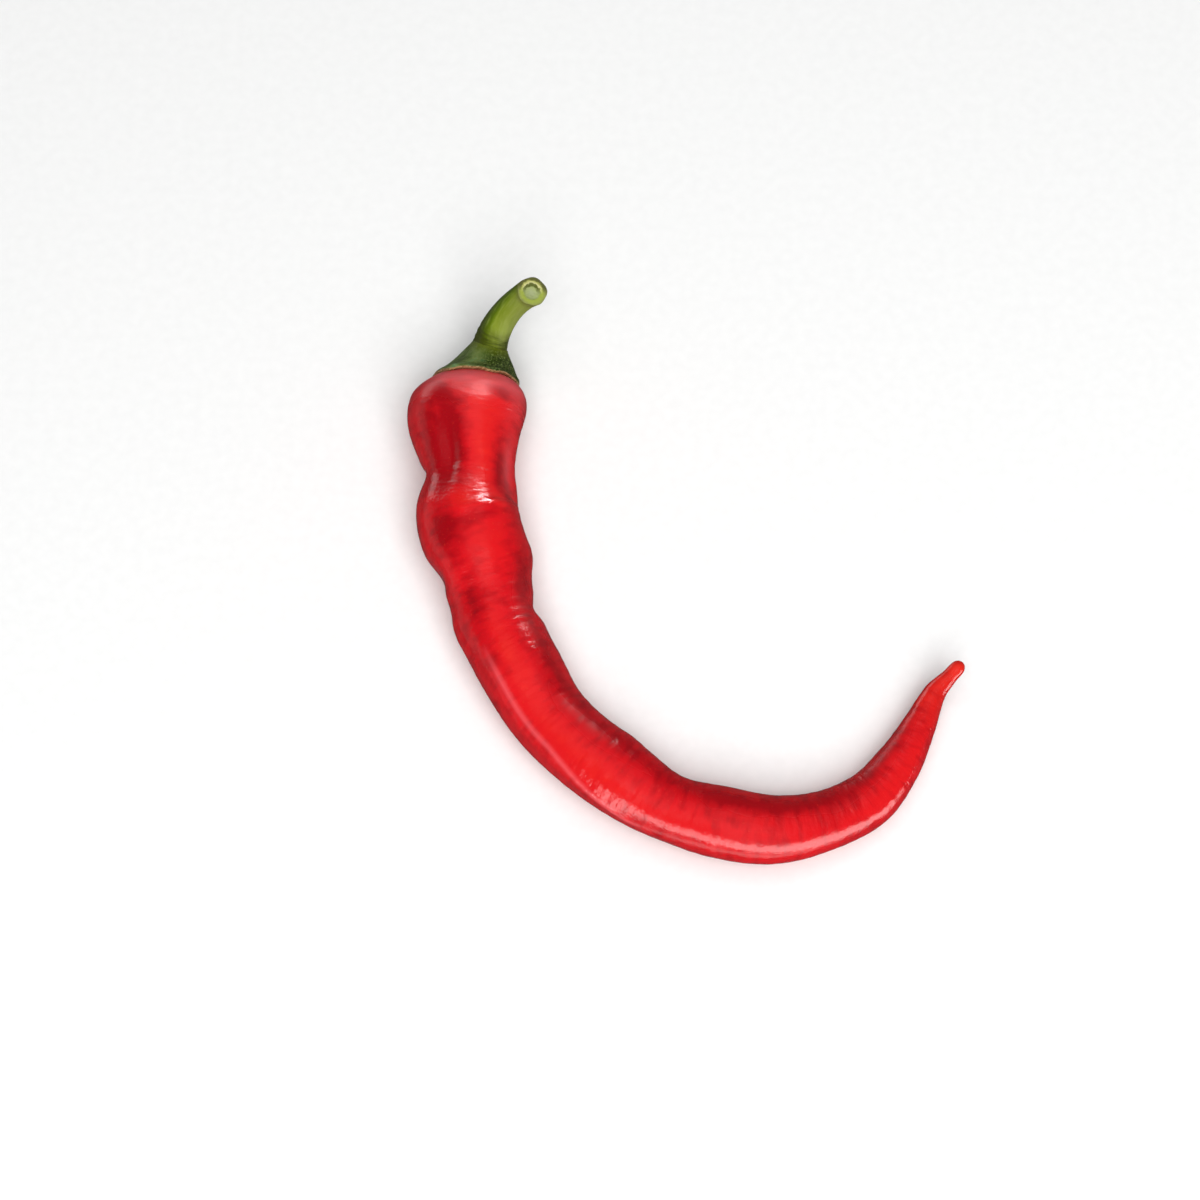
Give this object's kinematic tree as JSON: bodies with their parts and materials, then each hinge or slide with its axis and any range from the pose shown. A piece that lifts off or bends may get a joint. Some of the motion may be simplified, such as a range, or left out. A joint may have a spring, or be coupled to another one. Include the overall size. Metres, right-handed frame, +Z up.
{
  "type": "chilli pepper",
  "caption": "Long curved red chilli pepper lying on its side, with a two-bulged head, a green calyx cap and a bent, cut stem.",
  "frame": {"origin": "middle of the chilli's footprint, on the surface that it lies on", "axes": "+Z up from the surface, +X towards the tip, +Y towards the stem; the pod curves round the origin in the X-Y plane"},
  "size_m": [0.1035, 0.1084, 0.0256],
  "materials": {
    "pod_skin": "gloss",
    "calyx": "satin",
    "stem": "satin"
  },
  "bodies": {
    "root": {"pod": "pod_skin", "calyx": "calyx", "stem": "stem"}
  },
  "joints": []
}
